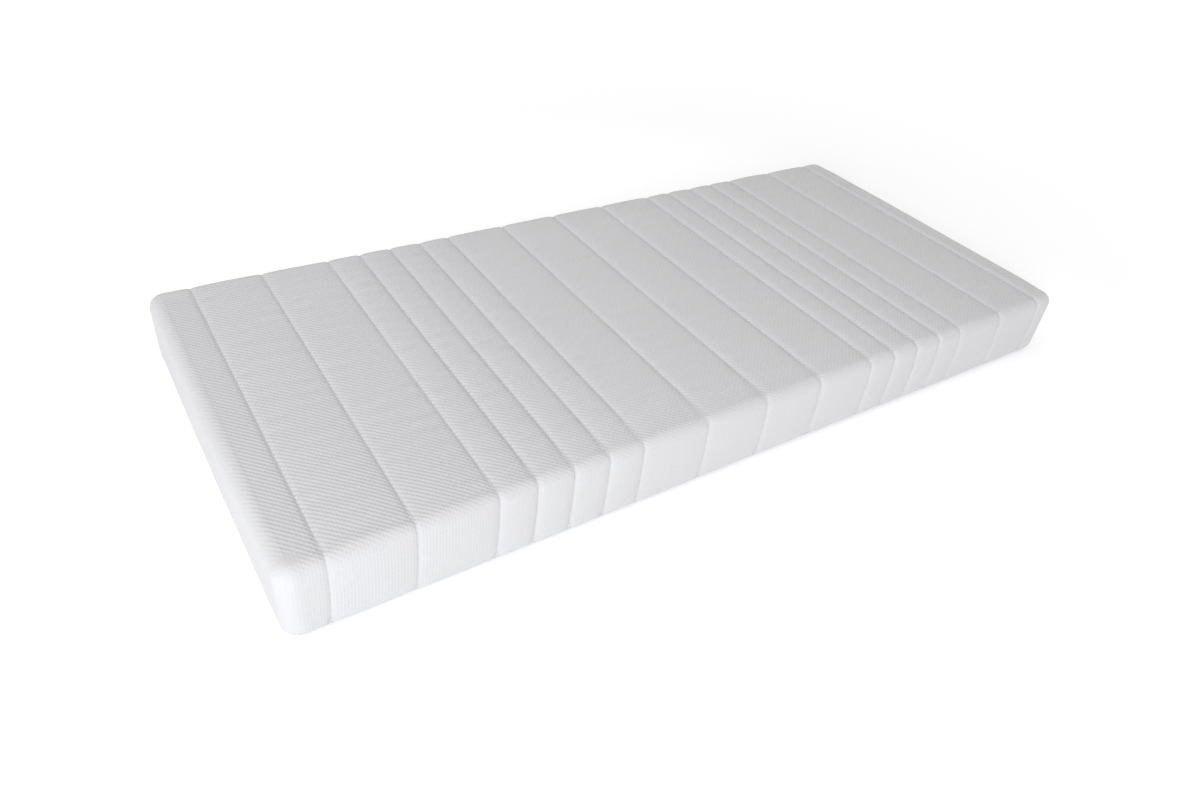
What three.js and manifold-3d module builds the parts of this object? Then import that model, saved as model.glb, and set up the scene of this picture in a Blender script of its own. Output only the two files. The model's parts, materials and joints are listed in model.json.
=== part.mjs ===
// Pressure relief mattress: a zoned foam core with firm side rails and a slotted top layer, in an
// inner sock and a quilted knitted cover that opens with one long zip.
// Millimetres. +X runs along the mattress from head to foot, +Y across it, +Z up.
// The origin is on the floor under the middle of the mattress, and the zip is on the +Y side.

import * as THREE from 'three';
import { mergeVertices } from 'three/addons/utils/BufferGeometryUtils.js';
import Module from 'manifold-3d';

const wasm = await Module();
wasm.setup();

// ---------------------------------------------------------------- driving dimensions

const LENGTH = 2000;
const WIDTH = 900;
const HEIGHT = 170;
const CORNER_RADIUS = 35; // upright corners, seen from above
const EDGE_RADIUS = 26; // top and bottom edges, seen from the side
const GAP = 0.3; // clearance between pieces that touch
const BEYOND = 30; // how far cutting bodies reach past what they cut

// Quilting lines run across the top and down both long sides.
const WIDE_CHANNEL = 153;
const NARROW_CHANNEL = WIDE_CHANNEL / 2;
const QUILT_DEPTH = 5;
const QUILT_HALF_WIDTH = 9;

// Layers of the quilted cover, from the outside in.
const FACE_FABRIC = 1.4;
const WADDING = 8;
const BACKING = 0.8;
const LINER = 1;
const BASE_FABRIC = 2;
const BASE_SEAM_HEIGHT = 4;
const BACKING_BOTTOM = 15.6;

// Foam core.
const SLAB_THICKNESS = 50;
const MIDDLE_THICKNESS = 60;
const RAIL_WIDTH = 100;
const INSERT_SLOT = { width: 8, depth: 32 };
const TOPPER_SLOT = { width: 5, depth: 20 };
const TOPPER_LONG_SLOTS = 4;

// Zip, set into the +Y side near the base.
const ZIP_HEIGHT = 40;
const ZIP_HALF_LENGTH = 922; // half the length of the toothed coil
const ZIP_END_ROOM = 28; // the opening runs past the coil at both ends
const ZIP_OPENING = 15; // visible height of the opening in the face fabric
const ZIP_TAPE = { inner: 1.2, outer: 15.5, thickness: 0.6 };
const ZIP_COIL = { inner: 0.6, outer: 2.8, thickness: 1.8 };
const ZIP_STOP = { length: 4, height: 3, thickness: 2, bevel: 0.6 };
const ZIP_DEPTH = 7; // from the side of the mattress to the middle of the tape
const SLIDER_LENGTH = 13;
const SLIDER_HALF_HEIGHT = 5.2;
const SLIDER_PLATE = 1;
const SLIDER_FLANGE = 0.9;
const SLIDER_TAPER = { tail: 1, tailBevel: 0.6, shoulder: 1, nose: 2, noseBevel: 2 };
const BRIDGE = { outer: 3.6, inner: 2.4, halfHeight: 1.2, windowTop: 2.25, archTop: 2.95 };
const PULL_RISE = 1.1; // from the slider's front to the middle of the pull
const SLIDER_REST = ZIP_HALF_LENGTH - SLIDER_LENGTH / 2 - 0.5;
const PULL = {
  length: 26, halfHeight: 4, thickness: 1.1, eye: 5, eyeHalfHeight: 2.2,
  head: 7, headHalfHeight: 3.4, waist: 10, waistHalfHeight: 2.4, grip: 20,
};

// The label covers part of the lower edge's rounding, between two angles below the horizontal.
const LABEL = { x: 710, width: 60, thickness: 0.5, from: 55, to: 20 };

// ---------------------------------------------------------------- derived places

const CORE_X = LENGTH / 2 - CORNER_RADIUS; // centres of the upright corners
const CORE_Y = WIDTH / 2 - CORNER_RADIUS;
const EDGE_CENTRE_OUT = CORNER_RADIUS - EDGE_RADIUS; // edge roundings' centre, out from there
const CORNER_STEPS = 4;
const LABEL_STEPS = 5;
const PULL_STEPS = 6;
const TOP_EDGE_STEPS = 3;
const BOTTOM_EDGE_STEPS = 4;
const INNER_EDGE_SHIFT = 1.5; // extra room for pieces inside the lower rounding
const QUILT_FADE = 1.6; // how soon the quilting fades out along the lower rounding
const QUARTER = Math.PI / 2;

const repeat = (value, count) => Array(count).fill(value);

const CHANNELS = [
  ...repeat(WIDE_CHANNEL, 2),
  ...repeat(NARROW_CHANNEL, 4),
  ...repeat(WIDE_CHANNEL, 4),
  ...repeat(NARROW_CHANNEL, 4),
  ...repeat(WIDE_CHANNEL, 2),
];

function quiltLines() {
  const total = CHANNELS.reduce((sum, width) => sum + width, 0);
  const lines = [-total / 2];
  for (const width of CHANNELS) {
    lines.push(lines[lines.length - 1] + width);
  }
  return lines;
}

const QUILT_LINES = quiltLines();

const WADDING_INSET = FACE_FABRIC + GAP;
const BACKING_INSET = WADDING_INSET + WADDING + GAP;
const LINER_INSET = BACKING_INSET + BACKING + GAP;
const FOAM_INSET = LINER_INSET + LINER + GAP;
const LINER_BOTTOM = BASE_FABRIC + GAP;
const FOAM_BOTTOM = LINER_BOTTOM + LINER + GAP;
const FOAM_TOP = HEIGHT - FOAM_INSET;
const FOAM_HALF_LENGTH = LENGTH / 2 - FOAM_INSET;
const FOAM_HALF_WIDTH = WIDTH / 2 - FOAM_INSET;

const SLAB_TOP = FOAM_BOTTOM + SLAB_THICKNESS;
const MIDDLE_BOTTOM = SLAB_TOP + GAP;
const MIDDLE_TOP = MIDDLE_BOTTOM + MIDDLE_THICKNESS;
const TOPPER_BOTTOM = MIDDLE_TOP + GAP;

// ---------------------------------------------------------------- materials

const material = (color, roughness, metalness = 0) => (
  new THREE.MeshStandardMaterial({ color, roughness, metalness })
);

const COVER_KNIT = material(0xe9eaee, 0.9);
const WADDING_FIBRE = material(0xf6f6f2, 0.95);
const BACKING_NONWOVEN = material(0xdfe2e4, 0.9);
const BASE_KNIT = material(0xb9bdc4, 0.85);
const LINER_JERSEY = material(0xf1efe6, 0.9);
const ZIP_WOVEN = material(0xe4e5e8, 0.8);
const ZIP_NYLON = material(0xdcdde0, 0.45);
const ZIP_METAL = material(0xb8babd, 0.35, 0.9);
const LABEL_SATIN = material(0xf4f4f4, 0.5);
const SLAB_FOAM = material(0xa9c7e6, 0.95);
const RAIL_FOAM = material(0x7fa8d6, 0.95);
const TOPPER_FOAM = material(0xf3edcf, 0.9);
const FIRM_INSERT_FOAM = material(0xe6e2da, 0.95);
const SOFT_INSERT_FOAM = material(0xd5b9c9, 0.95);

// ---------------------------------------------------------------- solids and booleans

function toSolid(geometry) {
  const bare = geometry.index ? geometry.toNonIndexed() : geometry.clone();
  bare.deleteAttribute('normal');
  bare.deleteAttribute('uv');
  const merged = mergeVertices(bare, 1e-4);
  const vertProperties = new Float32Array(merged.attributes.position.array);
  const triVerts = new Uint32Array(merged.index.array);
  return new wasm.Manifold(new wasm.Mesh({ numProp: 3, vertProperties, triVerts }));
}

function toGeometry(solid) {
  const { vertProperties, triVerts } = solid.getMesh();
  const geometry = new THREE.BufferGeometry();
  geometry.setAttribute('position', new THREE.BufferAttribute(vertProperties, 3));
  geometry.setIndex(new THREE.BufferAttribute(triVerts, 1));
  const flat = geometry.toNonIndexed();
  flat.computeVertexNormals();
  return flat;
}

// A box given by its lowest and highest corners.
function box(low, high) {
  const size = high.map((value, axis) => value - low[axis]);
  const geometry = new THREE.BoxGeometry(...size);
  geometry.translate(...low.map((value, axis) => value + size[axis] / 2));
  return toSolid(geometry);
}

// ---------------------------------------------------------------- bodies with the outline of the mattress

// A level of a body's surface. `angle` is the way that the surface faces there: 0 up, a right
// angle outwards, two right angles down. `out` and `up` place the centre of its rounding.
const level = (out, up, angle, radius, quilted = 0) => ({ out, up, angle, radius, quilted });

function topEdge(inset, quilted) {
  const levels = [];
  for (let step = 0; step <= TOP_EDGE_STEPS; step += 1) {
    const angle = QUARTER * (step / TOP_EDGE_STEPS);
    levels.push(level(EDGE_CENTRE_OUT, HEIGHT - EDGE_RADIUS, angle, EDGE_RADIUS - inset, quilted));
  }
  return levels;
}

// The lower rounding starts where the side meets it, and the quilting fades out along it.
function bottomEdge(sideInset, bottomInset, quilted, shift = 0) {
  const radius = EDGE_RADIUS - bottomInset;
  const reach = (EDGE_RADIUS - sideInset + shift) / radius;
  const start = Math.PI - Math.asin(Math.min(1, reach));
  const levels = [];
  for (let step = 0; step <= BOTTOM_EDGE_STEPS; step += 1) {
    const angle = start + (Math.PI - start) * (step / BOTTOM_EDGE_STEPS);
    const fade = Math.max(0, 1 - QUILT_FADE * (step / BOTTOM_EDGE_STEPS));
    levels.push(level(EDGE_CENTRE_OUT - shift, EDGE_RADIUS, angle, radius, quilted * fade));
  }
  return levels;
}

const sharpEdge = (inset, up) => level(CORNER_RADIUS - inset, up, QUARTER, 0);

// Places along a long side, with the depth of the quilting at each.
function sideStations(depth) {
  const stations = [{ x: -CORE_X, depth: 0 }];
  if (depth > 0) {
    for (const line of QUILT_LINES) {
      stations.push({ x: line - QUILT_HALF_WIDTH, depth: 0 });
      stations.push({ x: line, depth });
      stations.push({ x: line + QUILT_HALF_WIDTH, depth: 0 });
    }
  }
  stations.push({ x: CORE_X, depth: 0 });
  return stations;
}

// Half of the outline on the -Y side, from the head end to the foot end.
function halfOutline(depth) {
  const points = [];
  for (let step = 0; step < CORNER_STEPS; step += 1) {
    const turn = Math.PI + QUARTER * (step / CORNER_STEPS);
    points.push({ x: -CORE_X, faceX: Math.cos(turn), faceY: Math.sin(turn), depth: 0 });
  }
  for (const station of sideStations(depth)) {
    points.push({ ...station, faceX: 0, faceY: -1 });
  }
  for (let step = 1; step <= CORNER_STEPS; step += 1) {
    const turn = -QUARTER + QUARTER * (step / CORNER_STEPS);
    points.push({ x: CORE_X, faceX: Math.cos(turn), faceY: Math.sin(turn), depth: 0 });
  }
  return points;
}

// A closed body from the levels of its side, highest first, with flat faces over and under them.
function wrappedBody(levels, depth = 0) {
  const half = halfOutline(depth);
  const count = 2 * half.length;
  const positions = [];
  const indices = [];

  const addPoint = (point, side, { out, up, angle, radius, quilted }) => {
    const reach = radius - point.depth * quilted;
    const outward = out + reach * Math.sin(angle);
    const x = point.x + outward * point.faceX;
    const y = side * (CORE_Y - outward * point.faceY);
    positions.push(x, y, up + reach * Math.cos(angle));
  };
  for (const ring of levels) {
    half.forEach((point) => addPoint(point, -1, ring));
    half.slice().reverse().forEach((point) => addPoint(point, 1, ring));
  }

  for (let ring = 0; ring + 1 < levels.length; ring += 1) {
    for (let i = 0; i < count; i += 1) {
      const next = (i + 1) % count;
      const [a, b] = [ring * count + i, ring * count + next];
      const [c, d] = [b + count, a + count];
      indices.push(a, d, b, b, d, c);
    }
  }

  const last = (levels.length - 1) * count;
  for (let i = 0; i + 1 < half.length; i += 1) {
    const [a, b, c, d] = [i, i + 1, count - 2 - i, count - 1 - i];
    indices.push(a, b, c, a, c, d);
    indices.push(last + a, last + c, last + b, last + a, last + d, last + c);
  }

  const geometry = new THREE.BufferGeometry();
  geometry.setAttribute('position', new THREE.Float32BufferAttribute(positions, 3));
  geometry.setIndex(indices);
  return toSolid(geometry);
}

const quiltedBody = (inset) => wrappedBody([
  ...topEdge(inset, 1),
  ...bottomEdge(inset, inset, 1),
], QUILT_DEPTH);

const plainBody = (sideInset, bottomInset, shift = 0) => wrappedBody([
  ...topEdge(sideInset, 0),
  ...bottomEdge(sideInset, bottomInset, 0, shift),
]);

// A body whose side runs straight down to `bottom`.
const straightBody = (inset, bottom) => wrappedBody([
  ...topEdge(inset, 0),
  sharpEdge(inset, bottom),
]);

const aboveHeight = (height) => box([-LENGTH, -WIDTH, height], [LENGTH, WIDTH, 2 * HEIGHT]);

// ---------------------------------------------------------------- quilted cover

// The long opening that the zip closes, cut through a layer of the cover.
function zipOpening(halfHeight) {
  const halfLength = ZIP_HALF_LENGTH + ZIP_END_ROOM;
  const inside = WIDTH / 2 - LINER_INSET + GAP / 2;
  return box(
    [-halfLength, inside, ZIP_HEIGHT - halfHeight],
    [halfLength, WIDTH / 2 + BEYOND, ZIP_HEIGHT + halfHeight],
  );
}

function coverTop() {
  return quiltedBody(0)
    .subtract(quiltedBody(FACE_FABRIC))
    .intersect(aboveHeight(BASE_SEAM_HEIGHT + GAP / 2))
    .subtract(zipOpening(ZIP_OPENING / 2));
}

function quiltWadding() {
  const inner = straightBody(WADDING_INSET + WADDING, -BEYOND);
  return quiltedBody(WADDING_INSET)
    .subtract(inner)
    .subtract(zipOpening(ZIP_TAPE.outer + GAP));
}

function quiltBacking() {
  return straightBody(BACKING_INSET, BACKING_BOTTOM)
    .subtract(straightBody(BACKING_INSET + BACKING, -BEYOND))
    .subtract(zipOpening(ZIP_TAPE.outer + GAP));
}

function coverBase() {
  return plainBody(0, 0)
    .subtract(plainBody(BASE_FABRIC, BASE_FABRIC))
    .subtract(aboveHeight(BASE_SEAM_HEIGHT - GAP / 2));
}

// A blank care label, sewn into the base seam and lying up against the rounded edge.
function careLabel() {
  const centreY = WIDTH / 2 - EDGE_RADIUS;
  const inner = EDGE_RADIUS + GAP;
  const outer = inner + LABEL.thickness;
  const from = -THREE.MathUtils.degToRad(LABEL.from);
  const to = -THREE.MathUtils.degToRad(LABEL.to);
  const shape = new THREE.Shape();
  shape.absarc(centreY, EDGE_RADIUS, outer, from, to, false);
  shape.absarc(centreY, EDGE_RADIUS, inner, to, from, true);
  const geometry = new THREE.ExtrudeGeometry(shape, {
    depth: LABEL.width, bevelEnabled: false, curveSegments: LABEL_STEPS,
  });
  placeAlongX(geometry, LABEL.x - LABEL.width / 2);
  return toSolid(geometry);
}

// Turns an extruded outline drawn as (y, z) so that it runs along +X from `start`.
function placeAlongX(geometry, start) {
  const turn = new THREE.Matrix4().makeBasis(
    new THREE.Vector3(0, 1, 0),
    new THREE.Vector3(0, 0, 1),
    new THREE.Vector3(1, 0, 0),
  );
  geometry.applyMatrix4(turn);
  geometry.translate(start, 0, 0);
}

// Turns an extruded outline drawn as (x, z) so that it runs along +Y from `start`.
function placeAlongY(geometry, start, depth) {
  geometry.rotateX(QUARTER);
  geometry.translate(0, start + depth, 0);
}

// ---------------------------------------------------------------- inner sock

// The sock is open at the foot end, where the core is slid in.
function linerSock() {
  const footCut = box(
    [LENGTH / 2 - FOAM_INSET - GAP / 2, -WIDTH, -BEYOND],
    [LENGTH, WIDTH, 2 * HEIGHT],
  );
  return plainBody(LINER_INSET, LINER_BOTTOM, INNER_EDGE_SHIFT)
    .subtract(plainBody(LINER_INSET + LINER, LINER_BOTTOM + LINER, INNER_EDGE_SHIFT))
    .subtract(footCut);
}

// ---------------------------------------------------------------- foam core

const baseSlab = () => wrappedBody([
  sharpEdge(FOAM_INSET, SLAB_TOP),
  ...bottomEdge(FOAM_INSET, FOAM_BOTTOM, 0, INNER_EDGE_SHIFT),
]);

function sideRail(side) {
  const layer = wrappedBody([
    sharpEdge(FOAM_INSET, MIDDLE_TOP),
    sharpEdge(FOAM_INSET, MIDDLE_BOTTOM),
  ]);
  const inner = FOAM_HALF_WIDTH - RAIL_WIDTH;
  const [low, high] = side < 0 ? [-WIDTH, -inner] : [inner, WIDTH];
  return layer.intersect(box([-LENGTH, low, 0], [LENGTH, high, HEIGHT]));
}

// A zone of the middle layer, with cross slots cut into its top.
function zoneInsert(from, to, slotPitch) {
  const halfSlot = INSERT_SLOT.width / 2;
  const slotBottom = MIDDLE_TOP - INSERT_SLOT.depth;
  const slots = Math.max(1, Math.round((to - from) / slotPitch) - 1);
  const pitch = (to - from) / (slots + 1);
  const shape = new THREE.Shape();
  shape.moveTo(from, MIDDLE_BOTTOM);
  shape.lineTo(to, MIDDLE_BOTTOM);
  shape.lineTo(to, MIDDLE_TOP);
  for (let slot = slots; slot >= 1; slot -= 1) {
    const middle = from + slot * pitch;
    shape.lineTo(middle + halfSlot, MIDDLE_TOP);
    shape.lineTo(middle + halfSlot, slotBottom);
    shape.lineTo(middle - halfSlot, slotBottom);
    shape.lineTo(middle - halfSlot, MIDDLE_TOP);
  }
  shape.lineTo(from, MIDDLE_TOP);
  shape.closePath();
  const halfWidth = FOAM_HALF_WIDTH - RAIL_WIDTH - GAP;
  const geometry = new THREE.ExtrudeGeometry(shape, { depth: 2 * halfWidth, bevelEnabled: false });
  placeAlongY(geometry, -halfWidth, 2 * halfWidth);
  return toSolid(geometry);
}

// The top layer: slots under every quilting line and along the mattress leave separate blocks.
function topper() {
  const slotBottom = FOAM_TOP - TOPPER_SLOT.depth;
  const slotTop = FOAM_TOP + BEYOND;
  const halfSlot = TOPPER_SLOT.width / 2;
  let solid = straightBody(FOAM_INSET, TOPPER_BOTTOM);
  for (const line of QUILT_LINES) {
    solid = solid.subtract(box([line - halfSlot, -WIDTH, slotBottom], [line + halfSlot, WIDTH, slotTop]));
  }
  const pitch = (2 * FOAM_HALF_WIDTH) / (TOPPER_LONG_SLOTS + 1);
  for (let slot = 1; slot <= TOPPER_LONG_SLOTS; slot += 1) {
    const y = -FOAM_HALF_WIDTH + slot * pitch;
    solid = solid.subtract(box([-LENGTH, y - halfSlot, slotBottom], [LENGTH, y + halfSlot, slotTop]));
  }
  return solid;
}

// ---------------------------------------------------------------- zip

const TAPE_Y = WIDTH / 2 - ZIP_DEPTH;
const TAPE_FRONT = TAPE_Y + ZIP_TAPE.thickness / 2;
const TAPE_BACK = TAPE_Y - ZIP_TAPE.thickness / 2;
const COIL_BACK = TAPE_FRONT + GAP;
const COIL_FRONT = COIL_BACK + ZIP_COIL.thickness;
const SLIDER_FRONT = COIL_FRONT + GAP + SLIDER_PLATE;
const PULL_AXIS_Y = SLIDER_FRONT + PULL_RISE;

// A strip along the zip on one side of its middle line, `side` 1 above it and -1 below.
function zipStrip(side, inner, outer, back, front, halfLength) {
  const edges = [ZIP_HEIGHT + side * inner, ZIP_HEIGHT + side * outer];
  return box([-halfLength, back, Math.min(...edges)], [halfLength, front, Math.max(...edges)]);
}

const zipTape = (side) => zipStrip(
  side, ZIP_TAPE.inner, ZIP_TAPE.outer, TAPE_BACK, TAPE_FRONT, ZIP_HALF_LENGTH + ZIP_END_ROOM - 1,
);

const zipCoil = (side) => zipStrip(
  side, ZIP_COIL.inner, ZIP_COIL.outer, COIL_BACK, COIL_FRONT, ZIP_HALF_LENGTH - GAP,
);

// A stop has its corners cut off where the slider meets it.
function zipStop(x, low, high) {
  const cut = ZIP_STOP.bevel;
  const half = ZIP_STOP.length / 2;
  const shape = new THREE.Shape([
    new THREE.Vector2(x - half + cut, low),
    new THREE.Vector2(x + half - cut, low),
    new THREE.Vector2(x + half, low + cut),
    new THREE.Vector2(x + half, high - cut),
    new THREE.Vector2(x + half - cut, high),
    new THREE.Vector2(x - half + cut, high),
    new THREE.Vector2(x - half, high - cut),
    new THREE.Vector2(x - half, low + cut),
  ]);
  const geometry = new THREE.ExtrudeGeometry(shape, {
    depth: ZIP_STOP.thickness, bevelEnabled: false,
  });
  placeAlongY(geometry, COIL_BACK, ZIP_STOP.thickness);
  return toSolid(geometry);
}

const STOP_X = ZIP_HALF_LENGTH + ZIP_STOP.length / 2;

const topStop = (side) => {
  const edges = [ZIP_HEIGHT + side * ZIP_COIL.inner, ZIP_HEIGHT + side * ZIP_STOP.height];
  return zipStop(STOP_X, Math.min(...edges), Math.max(...edges));
};

const bottomStop = () => zipStop(
  -STOP_X, ZIP_HEIGHT - ZIP_STOP.height, ZIP_HEIGHT + ZIP_STOP.height,
);

// The slider's plates hold both coils, with a thin wedge running between them.
function sliderBody() {
  const wedge = ZIP_COIL.inner / 2;
  const flange = SLIDER_HALF_HEIGHT - SLIDER_FLANGE;
  const cavityBack = TAPE_FRONT + GAP;
  const cavityFront = SLIDER_FRONT - SLIDER_PLATE;
  const backPlate = TAPE_BACK - GAP;
  const half = [
    [SLIDER_FRONT, SLIDER_HALF_HEIGHT],
    [cavityBack, SLIDER_HALF_HEIGHT],
    [cavityBack, flange],
    [cavityFront, flange],
    [cavityFront, wedge],
    [backPlate, wedge],
    [backPlate, SLIDER_HALF_HEIGHT],
    [backPlate - SLIDER_PLATE, SLIDER_HALF_HEIGHT],
  ];
  const mirrored = half.map(([y, z]) => [y, -z]).reverse();
  const outline = [...half, ...mirrored];
  const section = new THREE.Shape(outline.map(([y, z]) => new THREE.Vector2(y, ZIP_HEIGHT + z)));
  const geometry = new THREE.ExtrudeGeometry(section, {
    depth: SLIDER_LENGTH, bevelEnabled: false,
  });
  placeAlongX(geometry, SLIDER_REST - SLIDER_LENGTH / 2);
  return toSolid(geometry).intersect(sliderPlan());
}

// Seen from the front the slider tapers towards the closed coil.
function sliderPlan() {
  const back = -SLIDER_LENGTH / 2;
  const front = SLIDER_LENGTH / 2;
  const { tail, tailBevel, shoulder, nose, noseBevel } = SLIDER_TAPER;
  const upper = [
    [front, SLIDER_HALF_HEIGHT - noseBevel],
    [front - nose, SLIDER_HALF_HEIGHT],
    [shoulder, SLIDER_HALF_HEIGHT],
    [back + tail, SLIDER_HALF_HEIGHT - tail],
    [back, SLIDER_HALF_HEIGHT - tail - tailBevel],
  ];
  const lower = upper.map(([x, z]) => [x, -z]).reverse();
  const outline = [...lower, ...upper];
  const shape = new THREE.Shape(
    outline.map(([x, z]) => new THREE.Vector2(SLIDER_REST + x, ZIP_HEIGHT + z)),
  );
  const depth = 2 * ZIP_DEPTH;
  const geometry = new THREE.ExtrudeGeometry(shape, { depth, bevelEnabled: false });
  placeAlongY(geometry, TAPE_Y - ZIP_DEPTH, depth);
  return toSolid(geometry);
}

// The bridge is an arch on the slider's front, through which the pull's eye passes.
function sliderBridge() {
  const { outer, inner, halfHeight } = BRIDGE;
  const foot = SLIDER_FRONT - SLIDER_PLATE / 2;
  const windowTop = SLIDER_FRONT + BRIDGE.windowTop;
  const archTop = SLIDER_FRONT + BRIDGE.archTop;
  const shape = new THREE.Shape([
    [-outer, foot], [-inner, foot], [-inner, windowTop], [inner, windowTop],
    [inner, foot], [outer, foot], [outer, windowTop], [inner, archTop],
    [-inner, archTop], [-outer, windowTop],
  ].map(([x, y]) => new THREE.Vector2(SLIDER_REST + x, y)));
  const geometry = new THREE.ExtrudeGeometry(shape, {
    depth: 2 * halfHeight, bevelEnabled: false,
  });
  geometry.translate(0, 0, ZIP_HEIGHT - halfHeight);
  return toSolid(geometry);
}

const zipSlider = () => sliderBody().add(sliderBridge());

// The pull lies back over the closed zip, and turns about the bar at its eye.
function zipPull() {
  const bar = PULL.thickness / 2;
  const x = (distance) => SLIDER_REST - distance;
  const z = (height) => ZIP_HEIGHT + height;
  const shape = new THREE.Shape();
  shape.moveTo(x(-bar), z(-PULL.headHalfHeight));
  shape.lineTo(x(-bar), z(PULL.headHalfHeight));
  shape.lineTo(x(PULL.head), z(PULL.headHalfHeight));
  shape.lineTo(x(PULL.waist), z(PULL.waistHalfHeight));
  shape.lineTo(x(PULL.grip), z(PULL.halfHeight));
  shape.absarc(x(PULL.length - PULL.halfHeight), z(0), PULL.halfHeight, QUARTER, 3 * QUARTER, false);
  shape.lineTo(x(PULL.grip), z(-PULL.halfHeight));
  shape.lineTo(x(PULL.waist), z(-PULL.waistHalfHeight));
  shape.lineTo(x(PULL.head), z(-PULL.headHalfHeight));
  shape.closePath();

  const eye = new THREE.Path([
    new THREE.Vector2(x(bar), z(-PULL.eyeHalfHeight)),
    new THREE.Vector2(x(bar), z(PULL.eyeHalfHeight)),
    new THREE.Vector2(x(PULL.eye), z(PULL.eyeHalfHeight)),
    new THREE.Vector2(x(PULL.eye), z(-PULL.eyeHalfHeight)),
  ]);
  const grip = new THREE.Path();
  grip.absarc(x(PULL.length - PULL.halfHeight), z(0), PULL.halfHeight / 2, 0, 4 * QUARTER, true);
  shape.holes.push(eye, grip);
  const geometry = new THREE.ExtrudeGeometry(shape, {
    depth: PULL.thickness, bevelEnabled: false, curveSegments: PULL_STEPS,
  });
  placeAlongY(geometry, PULL_AXIS_Y - PULL.thickness / 2, PULL.thickness);
  return toSolid(geometry);
}

// ---------------------------------------------------------------- assembly

const mattress = new THREE.Group();

function addPiece(name, solid, pieceMaterial) {
  const mesh = new THREE.Mesh(toGeometry(solid), pieceMaterial);
  mesh.name = name;
  mattress.add(mesh);
}

addPiece('cover_top', coverTop(), COVER_KNIT);
addPiece('quilt_wadding', quiltWadding(), WADDING_FIBRE);
addPiece('quilt_backing', quiltBacking(), BACKING_NONWOVEN);
addPiece('cover_base', coverBase(), BASE_KNIT);
addPiece('care_label', careLabel(), LABEL_SATIN);
addPiece('liner_sock', linerSock(), LINER_JERSEY);

addPiece('base_slab', baseSlab(), SLAB_FOAM);
addPiece('side_rail_near', sideRail(-1), RAIL_FOAM);
addPiece('side_rail_far', sideRail(1), RAIL_FOAM);
addPiece('topper', topper(), TOPPER_FOAM);

// Zones of the middle layer end under the quilting lines where the channel width changes.
const [SHOULDER_LINE, CENTRE_LINE, LEG_LINE, FOOT_LINE] = [2, 6, 10, 14].map((i) => QUILT_LINES[i]);
const ZONES = [
  ['zone_insert_head', -FOAM_HALF_LENGTH, SHOULDER_LINE, WIDE_CHANNEL / 3, FIRM_INSERT_FOAM],
  ['zone_insert_shoulder', SHOULDER_LINE, CENTRE_LINE, NARROW_CHANNEL / 2, SOFT_INSERT_FOAM],
  ['zone_insert_pelvis', CENTRE_LINE, LEG_LINE, WIDE_CHANNEL / 3, FIRM_INSERT_FOAM],
  ['zone_insert_leg', LEG_LINE, FOOT_LINE, NARROW_CHANNEL / 2, SOFT_INSERT_FOAM],
  ['zone_insert_foot', FOOT_LINE, FOAM_HALF_LENGTH, WIDE_CHANNEL / 3, FIRM_INSERT_FOAM],
];
for (const [name, from, to, slotPitch, foam] of ZONES) {
  addPiece(name, zoneInsert(from + GAP / 2, to - GAP / 2, slotPitch), foam);
}

addPiece('zip_tape_upper', zipTape(1), ZIP_WOVEN);
addPiece('zip_tape_lower', zipTape(-1), ZIP_WOVEN);
addPiece('zip_coil_upper', zipCoil(1), ZIP_NYLON);
addPiece('zip_coil_lower', zipCoil(-1), ZIP_NYLON);
addPiece('zip_top_stop_upper', topStop(1), ZIP_METAL);
addPiece('zip_top_stop_lower', topStop(-1), ZIP_METAL);
addPiece('zip_bottom_stop', bottomStop(), ZIP_METAL);
addPiece('zip_slider', zipSlider(), ZIP_METAL);
addPiece('zip_pull', zipPull(), ZIP_METAL);

export default mattress;
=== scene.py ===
import itertools
import json
import math

import bpy
import numpy as np
from mathutils import Matrix, Vector


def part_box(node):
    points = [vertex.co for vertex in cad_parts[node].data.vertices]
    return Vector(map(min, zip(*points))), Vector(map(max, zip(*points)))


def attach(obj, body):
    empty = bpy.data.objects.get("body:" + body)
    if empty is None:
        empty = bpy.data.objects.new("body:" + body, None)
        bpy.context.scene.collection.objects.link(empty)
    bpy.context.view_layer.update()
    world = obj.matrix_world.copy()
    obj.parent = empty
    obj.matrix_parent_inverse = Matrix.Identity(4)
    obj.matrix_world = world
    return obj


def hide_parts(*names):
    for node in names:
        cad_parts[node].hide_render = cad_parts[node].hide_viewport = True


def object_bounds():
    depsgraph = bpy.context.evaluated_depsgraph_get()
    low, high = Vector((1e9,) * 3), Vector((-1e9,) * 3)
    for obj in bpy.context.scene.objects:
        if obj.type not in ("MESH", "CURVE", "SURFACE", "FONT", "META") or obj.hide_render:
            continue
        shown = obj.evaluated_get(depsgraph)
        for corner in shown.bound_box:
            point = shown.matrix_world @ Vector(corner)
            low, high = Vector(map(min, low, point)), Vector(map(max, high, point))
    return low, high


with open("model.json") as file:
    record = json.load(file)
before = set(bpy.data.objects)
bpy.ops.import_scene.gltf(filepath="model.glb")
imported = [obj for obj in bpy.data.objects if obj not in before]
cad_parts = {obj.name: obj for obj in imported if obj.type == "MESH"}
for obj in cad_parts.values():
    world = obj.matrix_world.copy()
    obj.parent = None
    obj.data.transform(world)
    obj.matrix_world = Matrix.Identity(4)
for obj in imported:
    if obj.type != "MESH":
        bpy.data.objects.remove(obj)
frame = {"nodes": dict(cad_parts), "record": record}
cad_low, cad_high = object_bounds()

# -------------------- sizes, in metres

LENGTH = cad_high.x - cad_low.x
WIDTH = cad_high.y - cad_low.y
HEIGHT = cad_high.z
CORNER_RADIUS = 0.035
EDGE_RADIUS = 0.026
CORE_X = LENGTH / 2 - CORNER_RADIUS
CORE_Y = WIDTH / 2 - CORNER_RADIUS
EDGE_OUT = CORNER_RADIUS - EDGE_RADIUS
SIDE_TOP = HEIGHT - EDGE_RADIUS

WIDE = 0.153
NARROW = WIDE / 2
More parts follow.
